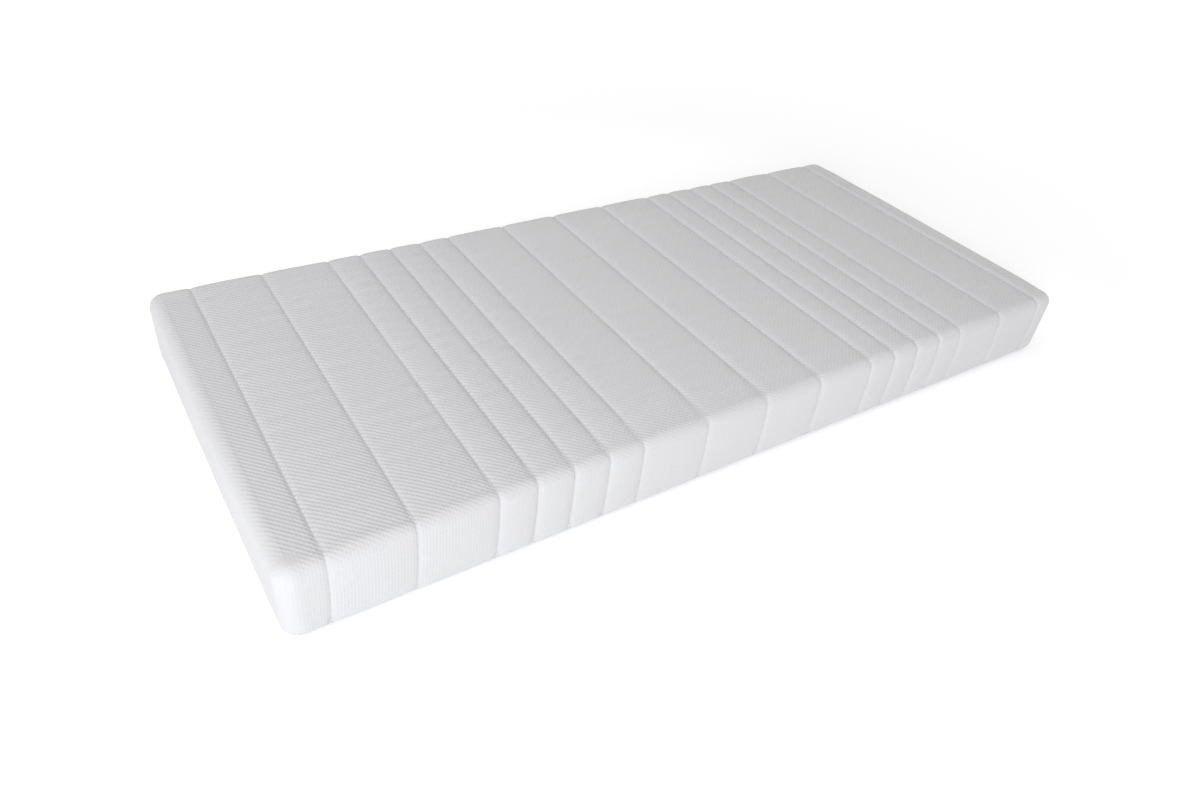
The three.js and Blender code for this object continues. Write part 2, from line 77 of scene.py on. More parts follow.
# The channels between the quilting lines, from head to foot.
CHANNELS = 2 * [WIDE] + 4 * [NARROW] + 4 * [WIDE] + 4 * [NARROW] + 2 * [WIDE]
QUILT_LINES = [-sum(CHANNELS) / 2 + sum(CHANNELS[:i]) for i in range(len(CHANNELS) + 1)]

ZIP_Z = (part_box("zip_tape_upper")[1].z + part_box("zip_tape_lower")[0].z) / 2
TAPE_FRONT_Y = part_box("zip_tape_upper")[1].y
TAPE_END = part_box("zip_tape_upper")[1].x

ROOT = "mattress"
random = np.random.default_rng(20)


# -------------------- camera, light and floor

CAMERA_PLACE = (-1.154, -1.405, 1.246)
CAMERA_YAW = -37.16  # degrees from +Y
CAMERA_TILT = 90 - 37.79  # degrees from straight down
CAMERA_ROLL = 6.98
CAMERA_LENS = 26.65

SKY_STRENGTH = 0.65
KEY_PLACE = (-3.94, -3.6, 2.225)
KEY_AIM = (-0.2, -0.2, 0.1)
KEY_COLOUR = (0.93, 0.955, 1)
TOP_PLACE = (-0.9, 0, 3.1)
TOP_AIM = (-0.8, 0, 0)
FLOOR_SIZE = 40
FLOOR_GLOW = 0.2  # the ground is white: it glows a little, and more beyond the lights' reach
GLOW_RADIUS = 1.6
GLOW_RISE = 0.09  # for each metre beyond that radius


def new_object(name, data):
    """An object with this data, put into the scene."""
    item = bpy.data.objects.new(name, data)
    bpy.context.collection.objects.link(item)
    return item


def make_camera():
    camera = new_object("camera", bpy.data.cameras.new("camera"))
    turn = Matrix.Rotation(math.radians(CAMERA_YAW), 4, "Z")
    tilt = Matrix.Rotation(math.radians(CAMERA_TILT), 4, "X")
    roll = Matrix.Rotation(math.radians(CAMERA_ROLL), 4, "Z")
    camera.matrix_world = Matrix.Translation(CAMERA_PLACE) @ turn @ tilt @ roll
    camera.data.sensor_width = 36
    camera.data.lens = CAMERA_LENS
    camera.data.clip_end = 100
    bpy.context.scene.camera = camera


def area_light(name, place, aim, size, power, colour=(1, 1, 1)):
    data = bpy.data.lights.new(name, "AREA")
    data.shape = "RECTANGLE"
    data.size, data.size_y = size
    data.energy = power
    data.color = colour
    light = new_object(name, data)
    light.location = place
    light.rotation_euler = (Vector(aim) - Vector(place)).to_track_quat("-Z", "Y").to_euler()


def make_stage():
    scene = bpy.context.scene
    scene.view_settings.view_transform = "Standard"
    world = bpy.data.worlds.new("studio")
    world.use_nodes = True
    background = world.node_tree.nodes["Background"]
    background.inputs["Color"].default_value = (1, 1, 1, 1)
    background.inputs["Strength"].default_value = SKY_STRENGTH
    scene.world = world
    area_light("key", KEY_PLACE, KEY_AIM, size=(2.0, 1.5), power=168, colour=KEY_COLOUR)
    area_light("top", TOP_PLACE, TOP_AIM, size=(3.5, 3.5), power=20)
    bpy.ops.mesh.primitive_plane_add(size=FLOOR_SIZE)
    floor = bpy.context.object
    floor.name = "floor"
    paint = Shader("floor_paint", (0.95, 0.95, 0.95), 0.8, Emission_Color=(1, 1, 1, 1))
    x, y, _ = paint.place()
    distance = paint.math("SQRT", paint.add(paint.times(x, x), paint.times(y, y)))
    beyond = paint.math("MAXIMUM", paint.add(distance, -GLOW_RADIUS), 0)
    glow = paint.add(FLOOR_GLOW, paint.times(beyond, GLOW_RISE))
    paint.put(paint.surface.inputs["Emission Strength"], glow)
    floor.data.materials.append(paint.material)


# -------------------- shader helpers


class Shader:
    """A material's node tree, with short calls for the nodes that the materials share."""

    def __init__(self, name, colour, roughness, **sockets):
        self.material = bpy.data.materials.new(name)
        self.material.use_nodes = True
        self.nodes = self.material.node_tree.nodes
        self.links = self.material.node_tree.links
        self.surface = self.nodes["Principled BSDF"]
        self.surface.inputs["Base Color"].default_value = (*colour, 1)
        self.surface.inputs["Roughness"].default_value = roughness
        for socket, value in sockets.items():
            self.surface.inputs[socket.replace("_", " ")].default_value = value

    def put(self, socket, value):
        if isinstance(value, bpy.types.NodeSocket):
            self.links.new(value, socket)
        else:
            socket.default_value = value

    def math(self, operation, *values):
        node = self.nodes.new("ShaderNodeMath")
        node.operation = operation
        for socket, value in zip(node.inputs, values):
            self.put(socket, value)
        return node.outputs[0]

    def chain(self, operation, values):
        result = values[0]
        for value in values[1:]:
            result = self.math(operation, result, value)
        return result

    def add(self, *values):
        return self.chain("ADD", values)

    def times(self, *values):
        return self.chain("MULTIPLY", values)

    def cosine(self, coordinate, pitch):
        return self.math("COSINE", self.times(coordinate, 2 * math.pi / pitch))

    def split(self, vector):
        node = self.nodes.new("ShaderNodeSeparateXYZ")
        self.links.new(vector, node.inputs[0])
        return node.outputs

    def place(self):
        """The object's own coordinates, as x, y and z."""
        return self.split(self.nodes.new("ShaderNodeTexCoord").outputs["Object"])

    def attribute(self, name):
        """A mesh's own vector attribute, as x, y and z."""
        node = self.nodes.new("ShaderNodeAttribute")
        node.attribute_name = name
        return self.split(node.outputs["Vector"])

    def texture(self, kind, size):
        """A texture node in the object's own coordinates, with features of this size."""
        coordinates = self.nodes.new("ShaderNodeTexCoord")
        node = self.nodes.new(kind)
        self.links.new(coordinates.outputs["Object"], node.inputs["Vector"])
        node.inputs["Scale"].default_value = 1 / size
        return node

    def noise(self, size, detail=2.0, roughness=0.5):
        """Noise from 0 to 1 with features of this size."""
        node = self.texture("ShaderNodeTexNoise", size)
        node.inputs["Detail"].default_value = detail
        node.inputs["Roughness"].default_value = roughness
        return node.outputs["Fac"]

    def cells(self, size):
        """0 in the middle of each cell of about this size, rising towards its walls."""
        return self.texture("ShaderNodeTexVoronoi", size).outputs["Distance"]

    def mix(self, factor, first, second):
        node = self.nodes.new("ShaderNodeMix")
        node.data_type = "RGBA"
        self.put(node.inputs["Factor"], factor)
        for socket, value in ((node.inputs["A"], first), (node.inputs["B"], second)):
            self.put(socket, value if isinstance(value, bpy.types.NodeSocket) else (*value, 1))
        return node.outputs["Result"]

    def colour(self, value):
        self.put(self.surface.inputs["Base Color"], value)

    def roughness(self, value):
        self.put(self.surface.inputs["Roughness"], value)

    def relief(self, height):
        """Bump from a height in metres."""
        bump = self.nodes.new("ShaderNodeBump")
        bump.inputs["Distance"].default_value = 1
        self.put(bump.inputs["Height"], height)
        self.links.new(bump.outputs["Normal"], self.surface.inputs["Normal"])


# -------------------- materials

# One cell of the knit's honeycomb, along and across. The cells meet where the end faces' knit
# turns to run round the corners, so half a cell more or less fits between the core's sizes.
KNIT_CELL = (CORE_X - CORE_Y) / 47.5
END_FACE_REACH = 123.5 * KNIT_CELL  # along the knit, from the middle of a side to that of an end
CORNER_REACH = END_FACE_REACH - CORE_X - CORE_Y
KNIT_LOOP = 0.00145
HONEYCOMB_RELIEF = 0.00066
RIB_RELIEF = 0.00006
LOOP_RELIEF = 0.00004
FUZZ_SIZE = 0.0009
PATCH_SIZE = 0.22


def cover_knit():
    """White honeycomb double knit: staggered dimples with fine upright ribs of loops."""
    shader = Shader("cover_knit", (0.66, 0.662, 0.675), 0.92, Sheen_Weight=0.15, Sheen_Roughness=0.5)
    along, across, strength = shader.attribute("fabric")
    honeycomb = shader.times(shader.cosine(along, KNIT_CELL), shader.cosine(across, KNIT_CELL))
    ribs = shader.cosine(along, KNIT_CELL / 2)
    rib_strength = shader.times(
        shader.math("MINIMUM", shader.times(strength, 12), 1),
        shader.add(1.7, shader.times(strength, -0.7)),
    )
    loops = shader.times(shader.cosine(along, KNIT_LOOP), shader.cosine(across, KNIT_LOOP))
    fuzz = shader.noise(FUZZ_SIZE, 3)
    height = shader.add(
        shader.times(honeycomb, strength, HONEYCOMB_RELIEF),
        shader.times(ribs, rib_strength, RIB_RELIEF),
        shader.times(loops, LOOP_RELIEF),
        shader.times(fuzz, LOOP_RELIEF),
    )
    shader.relief(height)
    patches = shader.noise(PATCH_SIZE, 2)
    # Painted shade: the knit's colour darkens in the honeycomb's dimples and between its loops,
    # where the relief sinks. The fuzz and the patches only vary its tone at random.
    shade = shader.add(
        shader.times(honeycomb, strength, 0.10), shader.times(loops, 0.14),
        shader.times(fuzz, 0.3), shader.times(patches, 0.3), 0.2,
    )
    shader.colour(shader.mix(shade, (0.551, 0.546, 0.554), (0.642, 0.637, 0.643)))
    shader.roughness(shader.add(0.86, shader.times(fuzz, 0.1)))
    return shader.material


def base_knit():
    """Grey base fabric with rows of small raised grip dots."""
    shader = Shader("base_knit", (0.42, 0.44, 0.47), 0.85)
    thread, dot = 0.0016, 0.012
    x, y, _ = shader.place()
    weave = shader.times(shader.cosine(x, thread), shader.cosine(y, thread))
    dots = shader.times(shader.cosine(x, dot), shader.cosine(y, dot))
    raised = shader.math("GREATER_THAN", dots, 0.62)
    shader.relief(shader.add(shader.times(weave, 0.00008), shader.times(raised, 0.0004)))
    shader.colour(shader.mix(raised, (0.42, 0.44, 0.47), (0.62, 0.64, 0.66)))
    shader.roughness(shader.add(0.9, shader.times(raised, -0.35)))
    return shader.material


def fibre_material(name, colour, fluff):
    """Loose or bonded white fibres."""
    shader = Shader(name, colour, 0.95)
    strands = shader.noise(0.004, 6, 0.7)
    shader.relief(shader.times(strands, fluff))
    darker = tuple(0.9 * channel for channel in colour)
    shader.colour(shader.mix(strands, darker, colour))
    return shader.material


def jersey_material(name, colour):
    """Thin plain knit."""
    shader = Shader(name, colour, 0.9)
    rib = 0.0012
    x, y, z = shader.place()
    rows = shader.cosine(shader.add(x, z), rib)
    wales = shader.cosine(shader.add(y, z), 1.3 * rib)
    shader.relief(shader.times(shader.add(rows, wales), 0.00005))
    patches = shader.noise(0.1)
    darker = tuple(0.93 * channel for channel in colour)
    shader.colour(shader.mix(patches, darker, colour))
    return shader.material


def foam_material(name, colour, cell):
    """Open-cell foam, cut: small pores darkened with painted shade, in a slightly uneven colour."""
    shader = Shader(name, colour, 0.95)
    pores = shader.cells(cell)
    clouds = shader.noise(0.06, 3)
    shader.relief(shader.times(pores, 0.6 * cell))
    deep = tuple(0.72 * channel for channel in colour)
    pale = tuple(min(1, 1.06 * channel) for channel in colour)
    # Painted shade: the colour darkens towards each pore's middle, where the relief sinks. The
    # clouds vary the tone at random.
    shade = shader.add(shader.times(pores, 0.91), shader.times(clouds, 0.3))
    shader.colour(shader.mix(shade, deep, pale))
    return shader.material


def zip_tape_material():
    """Herringbone woven tape."""
    shader = Shader("zip_woven", (0.66, 0.665, 0.68), 0.8)
    x, _, z = shader.place()
    upper = shader.math("GREATER_THAN", z, ZIP_Z)
    slant = shader.times(shader.add(shader.times(upper, 2), -1), z)
    twill = shader.cosine(shader.add(x, slant), 0.0011)
    shader.relief(shader.times(twill, 0.00008))
    shade = shader.add(shader.times(twill, 0.25), 0.5)
    shader.colour(shader.mix(shade, (0.56, 0.565, 0.58), (0.72, 0.725, 0.74)))
    return shader.material


def zip_nylon_material():
    shader = Shader("zip_nylon", (0.7, 0.7, 0.71), 0.4, Specular_IOR_Level=0.55)
    scuffs = shader.noise(0.002, 4)
    shader.relief(shader.times(scuffs, 0.00003))
    shader.colour(shader.mix(scuffs, (0.62, 0.62, 0.64), (0.74, 0.74, 0.75)))
    return shader.material


def zip_metal_material():
    """Die-cast zinc with a dull nickel finish, brushed by use."""
    shader = Shader("zip_metal", (0.4, 0.4, 0.41), 0.32, Metallic=1.0)
    grain = shader.noise(0.0012, 5, 0.6)
    wear = shader.noise(0.006, 3)
    shader.relief(shader.times(grain, 0.00004))
    shader.colour(shader.mix(wear, (0.27, 0.27, 0.28), (0.46, 0.46, 0.47)))
    shader.roughness(shader.add(0.26, shader.times(wear, 0.22)))
    return shader.material


def label_material():
    """White woven satin with a fine horizontal rib."""
    shader = Shader("label_satin", (0.8, 0.8, 0.8), 0.45, Sheen_Weight=0.3)
    x, _, z = shader.place()
    rib = shader.add(shader.cosine(z, 0.0007), shader.cosine(x, 0.0009))
    shader.relief(shader.times(rib, 0.00003))
    shader.colour(shader.mix(shader.noise(0.02), (0.76, 0.76, 0.77), (0.84, 0.84, 0.84)))
    return shader.material


def thread_material():
    shader = Shader("thread", (0.62, 0.625, 0.64), 0.6)
    x, y, z = shader.place()
    twist = shader.cosine(shader.add(x, y, z), 0.0008)
    shader.relief(shader.times(twist, 0.00006))
    shader.colour(shader.mix(shader.noise(0.003), (0.58, 0.585, 0.6), (0.7, 0.7, 0.71)))
    return shader.material


# -------------------- the wrapped surfaces

SEAM_ANGLE = math.radians(58)  # where the cover meets the base panel, round the lower edge
SEAM_GAP = math.radians(1.8)  # the crease between the cover's edge and the base panel's
SEAM_ALLOWANCE = math.radians(16)  # how far the panel's edge stands up behind the cover's
CORNER_STEPS = 12
CROSS_STEPS = 150


def smooth(value, start, end):
    """0 before start, 1 after end, with a soft step between."""
    t = np.clip((np.asarray(value, float) - start) / (end - start), 0, 1)
    return t * t * (3 - 2 * t)


# Distances from a quilting line to the middle of a channel, and to the corner at the ends.
LINE_STEPS = [0, 0.0013, 0.003, 0.0055, 0.009]
WIDE_STEPS = [*LINE_STEPS, 0.015, 0.026, 0.045, WIDE / 2]
NARROW_STEPS = [*LINE_STEPS, 0.014, 0.020, 0.028, NARROW / 2]
END_MARGIN = CORE_X - QUILT_LINES[-1]
END_STEPS = [*LINE_STEPS, 0.015, 0.022, 0.025, 0.028, 0.031, 0.033, 0.039, END_MARGIN]


def along_stations():
    """Places along the mattress for the surface's columns: close together at each line."""
    places = [QUILT_LINES[0] - step for step in reversed(END_STEPS)]
    for line, width in zip(QUILT_LINES, CHANNELS):
        steps = WIDE_STEPS if width == WIDE else NARROW_STEPS
        places += [line + step for step in steps[1:]]
        places += [line + width - step for step in reversed(steps[:-1])]
    return np.array(places + [QUILT_LINES[-1] + step for step in END_STEPS[1:]])


class Outline:
    """The surface's columns, from the head end round two corners to the foot end."""

    def __init__(self, places, corner_steps=CORNER_STEPS):
        turns = np.linspace(0, math.pi / 2, corner_steps + 1)[:-1]
        corner = np.full(corner_steps, CORE_X)
        straight = np.zeros(len(places))
        self.x = np.concatenate([-corner, places, corner])
        self.face_x = np.concatenate([-np.cos(turns), straight, np.cos(turns[::-1])])
        self.face_y = np.concatenate([np.sin(turns), straight + 1, np.sin(turns[::-1])])
        self.turn = np.arctan2(self.face_x, self.face_y)  # 0 on the long side
        self.straight = np.abs(self.turn) < 1e-6
        self.fade = np.cos(self.turn) ** 2


class Profile:
    """Levels from the edge of a flat face round the edge and along the side."""

    def __init__(self, out, up, normal_out, normal_up):
        self.out, self.up = np.asarray(out), np.asarray(up)
        self.normal_out, self.normal_up = np.asarray(normal_out), np.asarray(normal_up)
        steps = np.hypot(np.diff(self.out), np.diff(self.up))
        self.arc = EDGE_OUT + np.concatenate([[0], np.cumsum(steps)])


def rounded_profile(inset, round_steps, side_rows, low_steps):
    """From the flat top over the edge, down the side and round the lower edge to the seam."""
    over = np.linspace(0, math.pi / 2, round_steps + 1)
    under = np.linspace(0, SEAM_ANGLE, low_steps + 1)[1:]
    radius = EDGE_RADIUS - inset
    side = np.asarray(side_rows)
    return Profile(
        np.concatenate([EDGE_OUT + radius * np.sin(over), 0 * side + EDGE_OUT + radius,
                        EDGE_OUT + radius * np.cos(under)]),
        np.concatenate([HEIGHT - EDGE_RADIUS + radius * np.cos(over), side,
                        EDGE_RADIUS - radius * np.sin(under)]),
        np.concatenate([np.sin(over), 0 * side + 1, np.cos(under)]),
        np.concatenate([np.cos(over), 0 * side, -np.sin(under)]),
    )


class Wrap:
    """Rows from the near side's last level, over the flat face, to the far side's last level."""

    def __init__(self, outline, profile, cross_steps=CROSS_STEPS):
        self.outline, self.profile = outline, profile
        share = np.linspace(-1, 1, cross_steps + 1)[1:-1]
        flat = np.zeros(len(share))
        self.side_rows = len(profile.out)

        def rows(levels, across_flat):
            return np.concatenate([levels[::-1], across_flat, levels])

        near, far = -np.ones(self.side_rows), np.ones(self.side_rows)
        self.share = np.concatenate([near, share, far])
        self.out = rows(profile.out, flat + EDGE_OUT)
        self.up = rows(profile.up, flat + profile.up[0])
        self.normal_out = rows(profile.normal_out, flat)
        self.normal_up = rows(profile.normal_up, flat + profile.normal_up[0])
        arc = CORE_Y + profile.arc
        self.across = np.concatenate([-arc[::-1], share * (CORE_Y + EDGE_OUT), arc])
        self.low = smooth(-self.normal_up, -0.05, 0.6)

    def points(self, up=None, push=0):
        """The smooth surface, with `up` and `push` by column and row where they differ."""
        outline = self.outline
        out = self.out[None, :] - push
        up = self.up if up is None else up
        x = outline.x[:, None] + out * outline.face_x[:, None]
        y = self.share * (CORE_Y + out * outline.face_y[:, None])
        return np.stack(np.broadcast_arrays(x, y, up), axis=2)

    def normals(self):
        outline = self.outline
        x = self.normal_out * outline.face_x[:, None]
        y = self.share * self.normal_out * outline.face_y[:, None]
        return np.stack(np.broadcast_arrays(x, y, self.normal_up), axis=2)


# -------------------- mesh helpers


def grid_numbers(shape, start=0):
    return start + np.arange(shape[0] * shape[1]).reshape(shape)


def cells(index, step):
    """The corners of every cell of a grid, `step` points wide, going round it."""
    coarse = index[::step, ::step]
    return np.stack([coarse[:-1, :-1], coarse[1:, :-1], coarse[1:, 1:], coarse[:-1, 1:]], axis=2)


def cell_middles(index):
    """The points halfway along each side of cells two points wide, going round as cells() does."""
    along = index[1::2, ::2]
    across = index[::2, 1::2]
    return np.stack([along[:, :-1], across[1:, :], along[:, 1:], across[:-1, :]], axis=2)


def vertex_normals(points, quads):
    corners = points[quads]
    face = np.cross(corners[:, 2] - corners[:, 0], corners[:, 3] - corners[:, 1])
    total = np.zeros_like(points)
    for corner in range(4):
        np.add.at(total, quads[:, corner], face)
    return total / np.maximum(np.linalg.norm(total, axis=1, keepdims=True), 1e-12)


class Grid:
    """A patch of a surface: its point numbers, and the fabric's own coordinates at each."""

    def __init__(self, index, fabric):
        self.index, self.fabric = index, fabric
        self.keep = np.ones((index.shape[0] // 2, index.shape[1] // 2), bool)

    def turned(self):
        flipped = Grid(self.index[::-1], self.fabric[::-1])
        flipped.keep = self.keep[::-1]
        return flipped

    def kept(self, values, step):
        """The values at the corners of each kept cell."""
        keep = self.keep
        if step == 1:
            keep = np.repeat(np.repeat(keep, 2, axis=0), 2, axis=1)
        return cells(values, step)[keep]


def closed_shell(points, grids, inner):
    """Faces of a closed shell: the grids as they are outside, and half as fine inside.

    inner maps the outside points, their normals and their numbers to the inside points. Gives
    the points, the faces and the fabric coordinates at each face's corners.
    """
    fine = np.concatenate([grid.kept(grid.index, 1) for grid in grids])
    coarse = np.concatenate([grid.kept(grid.index, 2) for grid in grids])
    middles = np.concatenate([cell_middles(grid.index)[grid.keep] for grid in grids])
    fine_fabric = np.concatenate([grid.kept(grid.fabric, 1) for grid in grids])
    coarse_fabric = np.concatenate([grid.kept(grid.fabric, 2) for grid in grids])

    used = np.unique(coarse)
    inner_number = np.full(len(points), -1)
    inner_number[used] = len(points) + np.arange(len(used))
    normals = vertex_normals(points, fine)
    inner_points = inner(points[used], normals[used], used)
    inner_faces = inner_number[coarse][:, ::-1]

    starts = coarse.ravel()
    ends = np.roll(coarse, -1, axis=1).ravel()
    keys = np.minimum(starts, ends) * len(points) + np.maximum(starts, ends)
    _, where, times = np.unique(keys, return_inverse=True, return_counts=True)
    rim = times[where] == 1
    start, end, middle = starts[rim], ends[rim], middles.ravel()[rim]
    rim_faces = np.stack([end, middle, start, inner_number[start], inner_number[end]], axis=1)

    faces = [*fine.tolist(), *inner_faces.tolist(), *rim_faces.tolist()]
    corners = [fine_fabric, coarse_fabric[:, ::-1], np.zeros((*rim_faces.shape, 3))]
    fabric = np.concatenate([group.reshape(-1, 3) for group in corners])
    return np.concatenate([points, inner_points]), faces, fabric


def even_shell(points, grids, thickness):
    """A closed shell whose inside lies this far below its outside."""
    return closed_shell(points, grids, lambda outer, normals, _: outer - thickness * normals)


def make_piece(name, points, faces, material):
    """A smooth-shaded piece of the mattress. Points that no face uses are left out."""
    used = np.unique(np.fromiter(itertools.chain.from_iterable(faces), int))
    number = np.full(len(points), -1)
    number[used] = np.arange(len(used))
    number = number.tolist()
    mesh = bpy.data.meshes.new(name)
    kept_faces = [[number[point] for point in face] for face in faces]
    mesh.from_pydata(points[used].tolist(), [], kept_faces)
    mesh.polygons.foreach_set("use_smooth", np.ones(len(mesh.polygons), bool))
    mesh.materials.append(MATERIALS[material])
    mesh.update()
    piece = new_object(name, mesh)
    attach(piece, ROOT)
    return piece


def store_fabric(piece, coordinates):
    layer = piece.data.attributes.new("fabric", "FLOAT_VECTOR", "CORNER")
    layer.data.foreach_set("vector", np.ascontiguousarray(coordinates, np.float32).ravel())


# -------------------- unevenness


def random_waves(count, most_along, most_across):
    return [
        (random.uniform(-most_along, most_along), random.uniform(-most_across, most_across),
         random.uniform(0, 2 * math.pi))
        for _ in range(count)
    ]


ROLLING = random_waves(10, 9, 14)
WRINKLES = random_waves(14, 45, 45)
BUMPS = random_waves(30, 60, 200)


def uneven(along, across, table):
    """A gentle unevenness of about unit height."""
    total = np.zeros(np.broadcast(along, across).shape)
    for wave_along, wave_across, phase in table:
        total += np.sin(wave_along * along + wave_across * across + phase)
    return total * math.sqrt(2 / len(table))


# -------------------- the fabric, by cloth simulation

SHEET_CELL = NARROW / 8
SHEET_REACH = 0.62  # from the middle of the mattress down to the base seam
SHEET_SLACK = 1.05  # how much longer the fabric is than the stitching holds it
SHEET_FRAMES = 24
SHEET_BUMP = 0.0003  # the first unevenness, for the puckers to start from
SHEET_SHAPE = tuple(round(2 * half / SHEET_CELL) + 1 for half in (QUILT_LINES[-1], SHEET_REACH))


def make_sheet():
    """The cover's fabric laid out flat, and cut a little too long for its stitching."""
    along = np.linspace(QUILT_LINES[0], QUILT_LINES[-1], SHEET_SHAPE[0])[:, None]
    across = np.linspace(-SHEET_REACH, SHEET_REACH, SHEET_SHAPE[1])[None, :]
    stitched = np.zeros(SHEET_SHAPE, bool)
    stitched[:, [0, -1]] = True
    stitched[np.abs(along - np.array(QUILT_LINES)).min(axis=1) < SHEET_CELL / 2] = True
    bumps = SHEET_BUMP * uneven(along, across, BUMPS) * ~stitched
    sewn = np.stack(np.broadcast_arrays(along, across, bumps), axis=2)
    cut = np.stack(np.broadcast_arrays(along, SHEET_SLACK * across, 0 * along), axis=2)

    mesh = bpy.data.meshes.new("fabric_sheet")
    numbers = grid_numbers(SHEET_SHAPE)
    mesh.from_pydata(cut.reshape(-1, 3).tolist(), [], cells(numbers, 1).reshape(-1, 4).tolist())
    sheet = new_object("fabric_sheet", mesh)
    sheet.shape_key_add(name="cut")
    key = sheet.shape_key_add(name="sewn")
    key.data.foreach_set("co", sewn.ravel())
    key.value = 1
    sheet.vertex_groups.new(name="stitched").add(numbers[stitched].tolist(), 1, "REPLACE")
    return sheet


def simulate_fabric():
    """How far the fabric stands out unevenly between its stitching, from a cloth simulation.

    Pressure from the fibre fill makes the sheet swell between the lines, and its spare length
    puckers. The mean swelling is left out: quilting_depth gives it.
    """
    sheet = make_sheet()
    modifier = sheet.modifiers.new("cloth", "CLOTH")
    cloth = modifier.settings
    cloth.quality = 4
    cloth.mass = 0.2
    cloth.tension_stiffness = 30
    cloth.compression_stiffness = 30
    cloth.shear_stiffness = 5
    cloth.bending_stiffness = 5
    cloth.use_pressure = True
    cloth.uniform_pressure_force = 5
    cloth.vertex_group_mass = "stitched"
    cloth.rest_shape_key = sheet.data.shape_keys.key_blocks["cut"]
    cloth.effector_weights.gravity = 0
    modifier.collision_settings.use_collision = False
    modifier.point_cache.frame_end = SHEET_FRAMES
    scene = bpy.context.scene
    for frame_number in range(1, SHEET_FRAMES + 1):
        scene.frame_set(frame_number)
    result = sheet.evaluated_get(bpy.context.evaluated_depsgraph_get())
    places = np.empty(3 * SHEET_SHAPE[0] * SHEET_SHAPE[1])
    result.data.vertices.foreach_get("co", places)
    height = places.reshape(*SHEET_SHAPE, 3)[:, :, 2]
    scene.frame_set(1)
    mesh = sheet.data
    bpy.data.objects.remove(sheet)
    bpy.data.meshes.remove(mesh)
    return height - height.mean(axis=1, keepdims=True)


FABRIC_HEIGHT = simulate_fabric()


def fabric_height(wrap):
    """The simulated unevenness by column and row, smooth between the sheet's points."""
    column = np.clip((wrap.outline.x - QUILT_LINES[0]) / SHEET_CELL, 0, SHEET_SHAPE[0] - 1.001)
    row = np.clip((wrap.across + SHEET_REACH) / SHEET_CELL, 0, SHEET_SHAPE[1] - 1.001)
    first_column, first_row = column.astype(int)[:, None], row.astype(int)[None, :]
    column_share = smooth(column[:, None] - first_column, 0, 1)
    row_share = smooth(row[None, :] - first_row, 0, 1)
    total = 0
    for step, weight in ((0, 1 - column_share), (1, column_share)):
        here = FABRIC_HEIGHT[first_column + step, first_row]
        beyond = FABRIC_HEIGHT[first_column + step, first_row + 1]
        total = total + weight * (here * (1 - row_share) + beyond * row_share)
    return total


# -------------------- the quilting

PILLOW_DEPTH = 0.0040  # from the middle of a channel to its line
PILLOW_POWER = 2.3
PILLOW_LESS_AT_EDGE = 0.0016
PILLOW_CHANGES = {"far_edge": -0.6, "low": -0.78, "foot": -0.42}
GROOVE_DEPTH = 0.0030  # at the stitches themselves
GROOVE_WIDTH = 0.0040
GROOVE_POWER = 1.4
GROOVE_CHANGES = {"foot": 0.6, "side": -0.45, "low": -0.7}
GROOVE_WIDTH_CHANGES = {"foot": 0.5}
NOTCH_DEPTH = 0.0055  # the dent at each line just above the base seam
NOTCH_WIDTH = 0.007
FAR_EDGE = 0.435  # across the mattress, where the top's far edge is
FAR_EDGE_WIDTH = 0.035
SHOULDER = (0.34, 0.435)  # where the top starts to fall away, and how far across it has fallen
SHOULDER_DROP = 0.0026
ROLL_HEIGHT = 0.0005
WRINKLE_HEIGHT = 0.00010
REST_DEPTH = 0.0008  # how far the fabric lies below the outline between the lines
SEAM_RISE = 0.0055
SEAM_RISE_WIDTH = 0.0045
SEAM_RISE_FADE = (0.45, 0.84)  # how far the surface faces down, from none of the rise to all
FABRIC_GAIN = 1.6
FABRIC_LIMIT = 0.0006
COVER_DEEPEST = 0.0076  # the sock is not far below
WADDING_DEEPEST = 0.0064

# How far the lines lie from their even places, and where along or across that comes in.
LEAN = 0.0076
LEAN_LIMIT = 0.6
LEAN_FADE = (-0.55, 0.05)
LINE_SHIFT = 0.0035
FOOT_SHIFT = 0.005
FOOT_SIDE_SHIFT = 0.0055
UPPER_SIDE = (0.43, 0.53)
BASE_SHIFT = 0.004
LOWER_SIDE = (0.52, 0.61)
LOOSER = (-0.45, 0.1)
FOOT_END = (0, 0.6)
FOOT_END_SHARE = 0.7


def changed(size, changes, **places):
    """The size, made greater or less by each place's change where that place's share is 1."""
    for name, share in places.items():
        size = size * (1 + changes[name] * share)
    return size


def towards_foot(wrap):
    """0 at the head, 1 from the middle on: there the stitching is looser and the lines broader."""
    return smooth(wrap.outline.x, *LOOSER)[:, None]


